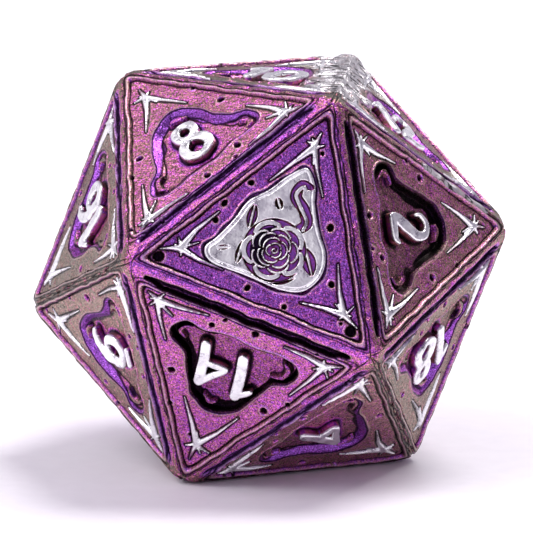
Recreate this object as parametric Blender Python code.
"""Polyhedral die: a cast metal icosahedron with silver numerals 1 to 19 and a rose in place of 20.

The casting stands on face 11, with face 10 on top. The origin is at the middle of face 11, +Z runs
up through face 10, and two of the six corners round the waist lie on the X axis.
"""

import math

import bmesh
import bpy
from mathutils import Matrix, Vector
from mathutils.geometry import interpolate_bezier

for leftover in list(bpy.data.objects):
    bpy.data.objects.remove(leftover, do_unlink=True)

MM = 0.001

# The body
ACROSS_FACES = 20.0 * MM
EDGE_ROUNDING = 0.22 * MM
ROUNDING_STEPS = 2

# The recessed cartouche round each numeral, and the close-fitting bed of the rose
CARTOUCHE_DEPTH = 0.55 * MM
EMBLEM_BED_DEPTH = 0.42 * MM

# The channel along the base side of a face
CHANNEL_LENGTH = 10.6 * MM
CHANNEL_WIDTH = 0.62 * MM
CHANNEL_DEPTH = 0.36 * MM
CHANNEL_FROM_EDGE = 0.62 * MM

# The silver pieces
SEAT_GAP = 0.03 * MM
BELOW_FACE = 0.05 * MM
EMBLEM_SIDE_GAP = 0.06 * MM
NUMERAL_HEIGHT = 2.75 * MM
NUMERAL_BASE = -1.08 * MM
DIGIT_GAP = 0.2 * MM
BAR_LENGTH = 1.15 * MM
BAR_WIDTH = 0.3 * MM
BAR_BELOW_NUMERAL = 0.32 * MM

CURVE_STEPS = 2
CUTTER_STICKS_OUT = 1.0 * MM

GOLDEN = (1 + math.sqrt(5)) / 2
INNER_RADIUS = ACROSS_FACES / 2
EDGE = ACROSS_FACES * math.sqrt(3) / GOLDEN**2
FACE_RADIUS = EDGE / math.sqrt(3)
WAIST_RADIUS = FACE_RADIUS * GOLDEN
WAIST_RISE = INNER_RADIUS / GOLDEN**3
FACE_INNER_RADIUS = FACE_RADIUS / 2

# Corners are named by ring (T top, U and L the upper and lower waist, K bottom) and by angle round Z.
RINGS = {
    "T": (FACE_RADIUS, ACROSS_FACES, (60, 180, 300)),
    "U": (WAIST_RADIUS, INNER_RADIUS + WAIST_RISE, (0, 120, 240)),
    "L": (WAIST_RADIUS, INNER_RADIUS - WAIST_RISE, (60, 180, 300)),
    "K": (FACE_RADIUS, 0.0, (0, 120, 240)),
}
CORNERS = {
    f"{ring}{angle}": Vector(
        (radius * math.cos(math.radians(angle)), radius * math.sin(math.radians(angle)), height)
    )
    for ring, (radius, height, angles) in RINGS.items()
    for angle in angles
}

# The corner that a numeral's head points to comes first. Opposite faces add up to 21.
FACES = {
    20: ("T300", "U240", "L300"),
    14: ("K240", "U240", "L300"),
    8: ("T180", "T300", "U240"),
    2: ("U0", "L300", "T300"),
    16: ("L180", "T180", "U240"),
    10: ("T60", "T180", "T300"),
    6: ("L180", "U240", "K240"),
    4: ("K0", "L300", "K240"),
    12: ("T60", "T300", "U0"),
    18: ("K0", "L300", "U0"),
}
ACROSS_CENTRE = {"T": "K", "K": "T", "U": "L", "L": "U"}


def opposite(corner):
    """The name of the corner straight through the middle of the die."""
    return f"{ACROSS_CENTRE[corner[0]]}{(int(corner[1:]) + 180) % 360}"


FACES |= {21 - number: tuple(opposite(name) for name in names) for number, names in FACES.items()}

# Faces 20 and 1 are framed by plain borders, and each other face has a channel along its base side.
FACES_WITHOUT_CHANNEL = (20, 1)

# Outlines in millimetres on the face: the middle is (0, 0) and the numeral's head is at +Y.
CARTOUCHE = [
    (0.1, 2.85), (1.1, 2.35), (1.7, 1.25), (2.3, 0.1), (3.1, -0.45), (3.3, -1.15), (2.7, -1.7),
    (1.5, -1.62), (0.2, -1.86), (-1.3, -1.66), (-2.65, -1.76), (-3.3, -1.3), (-3.15, -0.55),
    (-2.4, 0.0), (-1.85, 1.1), (-1.15, 2.3),
]
EMBLEM = [
    (0.0, 3.9), (0.75, 3.2), (1.1, 2.3), (1.75, 1.2), (2.5, 0.2), (2.7, -0.9), (2.2, -1.95),
    (1.1, -2.38), (-0.8, -2.36), (-2.7, -2.36), (-3.3, -1.75), (-2.9, -0.95), (-2.45, 0.2),
    (-2.15, 1.25), (-1.4, 2.15), (-0.75, 3.2),
]

# Strokes of the digits, each a row of (x, y, half width), for a digit one unit high.
# A stroke that ends where it starts is a ring.
DIGITS = {
    "0": [
        [(0.0, 0.93, 0.07), (0.2, 0.81, 0.1), (0.26, 0.5, 0.12), (0.2, 0.2, 0.11), (0.0, 0.07, 0.07),
         (-0.2, 0.19, 0.1), (-0.26, 0.5, 0.12), (-0.2, 0.8, 0.11), (0.0, 0.93, 0.07)],
    ],
    "1": [
        [(-0.21, 0.71, 0.045), (-0.12, 0.79, 0.065), (0.01, 0.88, 0.07)],
        [(0.03, 0.9, 0.1), (0.05, 0.6, 0.105), (0.09, 0.3, 0.105), (0.13, 0.1, 0.1)],
    ],
    "2": [
        [(-0.22, 0.7, 0.035), (-0.2, 0.82, 0.045), (-0.04, 0.94, 0.055), (0.14, 0.86, 0.08),
         (0.17, 0.66, 0.1), (0.03, 0.44, 0.115), (-0.13, 0.24, 0.11), (-0.2, 0.13, 0.08)],
        [(-0.2, 0.09, 0.08), (0.02, 0.08, 0.075), (0.2, 0.08, 0.065), (0.29, 0.15, 0.035)],
    ],
    "3": [
        [(-0.22, 0.8, 0.05), (-0.04, 0.94, 0.06), (0.16, 0.83, 0.1), (0.13, 0.63, 0.09),
         (-0.03, 0.55, 0.05)],
        [(-0.03, 0.55, 0.05), (0.16, 0.48, 0.08), (0.22, 0.26, 0.115), (0.02, 0.07, 0.08),
         (-0.22, 0.18, 0.06)],
    ],
    "4": [
        [(0.02, 0.9, 0.06), (-0.14, 0.68, 0.07), (-0.34, 0.46, 0.05), (-0.1, 0.45, 0.07),
         (0.1, 0.46, 0.05)],
        [(0.05, 0.88, 0.1), (0.08, 0.6, 0.1), (0.11, 0.34, 0.1), (0.16, 0.1, 0.095)],
    ],
    "5": [
        [(0.25, 0.93, 0.045), (0.05, 0.9, 0.075), (-0.16, 0.89, 0.065), (-0.19, 0.7, 0.06),
         (-0.17, 0.55, 0.05)],
        [(-0.17, 0.56, 0.05), (0.04, 0.6, 0.08), (0.21, 0.42, 0.115), (0.17, 0.17, 0.11),
         (0.0, 0.07, 0.075), (-0.22, 0.18, 0.06)],
    ],
    "6": [
        [(0.02, 0.56, 0.06), (0.2, 0.44, 0.1), (0.21, 0.2, 0.11), (0.0, 0.07, 0.07),
         (-0.21, 0.18, 0.11), (-0.2, 0.42, 0.1), (0.02, 0.56, 0.06)],
        [(-0.21, 0.3, 0.1), (-0.2, 0.58, 0.12), (-0.06, 0.8, 0.1), (0.12, 0.9, 0.075),
         (0.27, 0.88, 0.045)],
    ],
    "7": [
        [(-0.26, 0.8, 0.04), (-0.19, 0.9, 0.06), (0.0, 0.9, 0.075), (0.22, 0.9, 0.065),
         (0.14, 0.65, 0.085), (0.02, 0.35, 0.105), (-0.04, 0.1, 0.11)],
    ],
    "8": [
        [(0.02, 0.94, 0.06), (0.18, 0.86, 0.09), (0.17, 0.66, 0.085), (0.0, 0.56, 0.08),
         (-0.16, 0.66, 0.085), (-0.15, 0.86, 0.09), (0.02, 0.94, 0.06)],
        [(0.0, 0.55, 0.07), (0.21, 0.43, 0.1), (0.23, 0.2, 0.1), (0.0, 0.06, 0.07), (-0.23, 0.2, 0.1),
         (-0.21, 0.43, 0.1), (0.0, 0.55, 0.07)],
    ],
}
DIGITS["9"] = [[(-x, 1 - y, half_width) for x, y, half_width in stroke] for stroke in DIGITS["6"]]


def face_frame(number):
    """The matrix of a face: its middle, with +Y to the numeral's head and +Z straight out of the die."""
    head, *others = (CORNERS[name] for name in FACES[number])
    middle = (head + others[0] + others[1]) / 3
    outward = (middle - Vector((0, 0, INNER_RADIUS))).normalized()
    upward = (head - middle).normalized()
    frame = Matrix((upward.cross(outward), upward, outward)).transposed().to_4x4()
    frame.translation = middle
    return frame


def material(name, colour, roughness, metallic):
    made = bpy.data.materials.new(name)
    made.use_nodes = True
    shader = made.node_tree.nodes["Principled BSDF"]
    shader.inputs["Base Color"].default_value = (*colour, 1.0)
    shader.inputs["Roughness"].default_value = roughness
    shader.inputs["Metallic"].default_value = metallic
    made.diffuse_color = (*colour, 1.0)
    return made


COLOUR_SHIFT = material("colour_shift_coating", (0.26, 0.08, 0.34), 0.38, 0.9)
SILVER = material("polished_silver", (0.72, 0.71, 0.74), 0.28, 1.0)


def smooth_through(points, closed):
    """A smooth run through points, as Bezier spans whose handles follow the neighbouring points."""
    points = [Vector(point) for point in points]
    count = len(points)
    spans = count if closed else count - 1

    def tangent(index):
        if closed:
            return (points[(index + 1) % count] - points[index - 1]) / 6
        before = points[max(index - 1, 0)]
        after = points[min(index + 1, count - 1)]
        return (after - before) / 6

    run = []
    for index in range(spans):
        following = (index + 1) % count
        start = points[index]
        end = points[following]
        span = interpolate_bezier(
            start, start + tangent(index), end - tangent(following), end, CURVE_STEPS + 1
        )
        run += span[:-1]
    return run if closed else [*run, points[-1]]


def mesh_object(name, shape, frame, finish):
    """A new object that holds the bmesh, moved by the frame."""
    bmesh.ops.recalc_face_normals(shape, faces=shape.faces)
    mesh = bpy.data.meshes.new(name)
    shape.to_mesh(mesh)
    shape.free()
    made = bpy.data.objects.new(name, mesh)
    made.matrix_world = frame
    mesh.materials.append(finish)
    bpy.context.scene.collection.objects.link(made)
    return made


def add_prism(shape, outline, low, high):
    """A closed prism over an outline of 2D points."""
    base = shape.faces.new([shape.verts.new((point[0], point[1], low)) for point in outline])
    raised = bmesh.ops.extrude_face_region(shape, geom=[base])["geom"]
    corners = [element for element in raised if isinstance(element, bmesh.types.BMVert)]
    bmesh.ops.translate(shape, verts=corners, vec=(0, 0, high - low))


def sides_of_stroke(points, closed):
    """The left and right outlines of a stroke, from its middle line of (x, y, half width)."""
    left = []
    right = []
    last = len(points) - 1
    for index, point in enumerate(points):
        before = points[index - 1] if closed or index else point
        after = points[(index + 1) % len(points)] if closed or index < last else point
        along = (after - before).to_2d().normalized()
        across = Vector((-along.y, along.x)) * point.z
        left.append(point.to_2d() + across)
        right.append(point.to_2d() - across)
    return left, right


def add_stroke(shape, points, closed, low, high):
    """A closed solid along a stroke: a ring where it is closed, and a bar with round ends where it isn't."""
    left, right = sides_of_stroke(points, closed)
    if closed:
        loops = [
            [shape.verts.new((point.x, point.y, height)) for point in side]
            for side, height in ((left, low), (right, low), (right, high), (left, high))
        ]
        for loop, following in zip(loops, loops[1:] + loops[:1]):
            for index in range(len(loop)):
                ahead = (index + 1) % len(loop)
                shape.faces.new((loop[index], loop[ahead], following[ahead], following[index]))
        return
    start, end = points[0], points[-1]
    start_way = (points[1] - start).to_2d().normalized()
    end_way = (end - points[-2]).to_2d().normalized()
    start_tip = start.to_2d() - start_way * start.z
    end_tip = end.to_2d() + end_way * end.z
    add_prism(shape, [*left, end_tip, *reversed(right), start_tip], low, high)


def add_union(target, other, name):
    """Joins another solid to the target and keeps the result live in the modifier."""
    union = target.modifiers.new(name, "BOOLEAN")
    union.operation = "UNION"
    union.object = other
    hide_helper(other)


def cut(target, cutter, name):
    difference = target.modifiers.new(name, "BOOLEAN")
    difference.operation = "DIFFERENCE"
    difference.object = cutter
    hide_helper(cutter)


def hide_helper(helper):
    helper.hide_render = True
    helper.display_type = "WIRE"


def make_digit(name, digit, frame, middle_x):
    """One silver digit, standing on the floor of its cartouche."""
    low = -CARTOUCHE_DEPTH + SEAT_GAP
    high = -BELOW_FACE
    pieces = []
    for index, stroke in enumerate(DIGITS[digit]):
        closed = stroke[0] == stroke[-1]
        placed = [
            (x * NUMERAL_HEIGHT + middle_x, y * NUMERAL_HEIGHT + NUMERAL_BASE, half_width * NUMERAL_HEIGHT)
            for x, y, half_width in (stroke[:-1] if closed else stroke)
        ]
        shape = bmesh.new()
        add_stroke(shape, smooth_through(placed, closed), closed, low, high)
        pieces.append(mesh_object(f"{name}_stroke_{index}" if index else name, shape, frame, SILVER))
    for index, other in enumerate(pieces[1:]):
        add_union(pieces[0], other, f"join_{index}")


def make_bar(name, frame):
    """The bar under 6 and 9, which tells one from the other."""
    shape = bmesh.new()
    middle = NUMERAL_BASE - BAR_BELOW_NUMERAL
    ends = [Vector((side * BAR_LENGTH / 2, middle, BAR_WIDTH / 2)) for side in (-1, 1)]
    add_stroke(shape, ends, False, -CARTOUCHE_DEPTH + SEAT_GAP, -BELOW_FACE)
    mesh_object(name, shape, frame, SILVER)


def scaled_outline(outline):
    return [(x * MM, y * MM, 0.0) for x, y in outline]


def digit_sides(digit):
    """How far a digit reaches to the left and to the right of its own middle."""
    points = [point for stroke in DIGITS[digit] for point in stroke]
    left = min(x - half_width for x, _, half_width in points)
    right = max(x + half_width for x, _, half_width in points)
    return left * NUMERAL_HEIGHT, right * NUMERAL_HEIGHT


def make_numeral(number):
    frame = face_frame(number)
    digits = str(number)
    sides = [digit_sides(digit) for digit in digits]
    width = sum(right - left for left, right in sides) + DIGIT_GAP * (len(digits) - 1)
    reached = -width / 2
    for place, digit in enumerate(digits):
        left, right = sides[place]
        name = f"numeral_{number}_{('tens', 'units')[place]}" if len(digits) == 2 else f"numeral_{number}"
        make_digit(name, digit, frame, reached - left)
        reached += right - left + DIGIT_GAP
    if number in (6, 9):
        make_bar(f"numeral_{number}_bar", frame)


def inset(outline, distance):
    """The outline drawn in by a distance, point by point along its normals."""
    points = [Vector((*point[:2], distance)) for point in outline]
    left, right = sides_of_stroke(points, closed=True)
    return min(left, right, key=lambda side: sum(point.length for point in side))


def make_emblem():
    """The silver plate in its bed on face 20. Its rose is engraved in the finished surface."""
    shape = bmesh.new()
    outline = inset(smooth_through(scaled_outline(EMBLEM), closed=True), EMBLEM_SIDE_GAP)
    add_prism(shape, outline, -EMBLEM_BED_DEPTH + SEAT_GAP, -BELOW_FACE)
    mesh_object("rose_emblem", shape, face_frame(20), SILVER)


def channel_outline():
    """A slot with rounded ends along the base side of a face."""
    half_length = CHANNEL_LENGTH / 2
    middle = -FACE_INNER_RADIUS + CHANNEL_FROM_EDGE
    half_width = CHANNEL_WIDTH / 2
    outline = []
    for side in (1, -1):
        for turn in (-90, -45, 0, 45, 90):
            angle = math.radians(turn) if side == 1 else math.radians(turn + 180)
            centre_x = side * (half_length - half_width)
            outline.append(
                (centre_x + half_width * math.cos(angle), middle + half_width * math.sin(angle))
            )
    return outline


def add_placed_prism(shape, outline, depth, frame):
    """A cutter's prism from a depth below the face to well above it, placed on the face."""
    first = len(shape.verts)
    add_prism(shape, outline, -depth, CUTTER_STICKS_OUT)
    shape.verts.ensure_lookup_table()
    bmesh.ops.transform(shape, matrix=frame, verts=shape.verts[first:])


def make_body():
    """The casting: the rounded icosahedron with its cartouches, emblem bed and channels cut in."""
    shape = bmesh.new()
    placed = {name: shape.verts.new(corner) for name, corner in CORNERS.items()}
    for names in FACES.values():
        shape.faces.new([placed[name] for name in names])
    body = mesh_object("die_body", shape, Matrix(), COLOUR_SHIFT)
    rounding = body.modifiers.new("round_the_edges", "BEVEL")
    rounding.width = EDGE_ROUNDING
    rounding.segments = ROUNDING_STEPS
    rounding.limit_method = "NONE"

    cartouche = smooth_through(scaled_outline(CARTOUCHE), closed=True)
    emblem_bed = smooth_through(scaled_outline(EMBLEM), closed=True)
    channel = channel_outline()
    recesses = bmesh.new()
    channels = bmesh.new()
    for number in sorted(FACES):
        frame = face_frame(number)
        if number == 20:
            add_placed_prism(recesses, emblem_bed, EMBLEM_BED_DEPTH, frame)
        else:
            add_placed_prism(recesses, cartouche, CARTOUCHE_DEPTH, frame)
        if number not in FACES_WITHOUT_CHANNEL:
            add_placed_prism(channels, channel, CHANNEL_DEPTH, frame)
    cut(body, mesh_object("recess_cutters", recesses, Matrix(), COLOUR_SHIFT), "cut_recesses")
    cut(body, mesh_object("channel_cutters", channels, Matrix(), COLOUR_SHIFT), "cut_channels")


make_body()
for face_number in range(1, 20):
    make_numeral(face_number)
make_emblem()
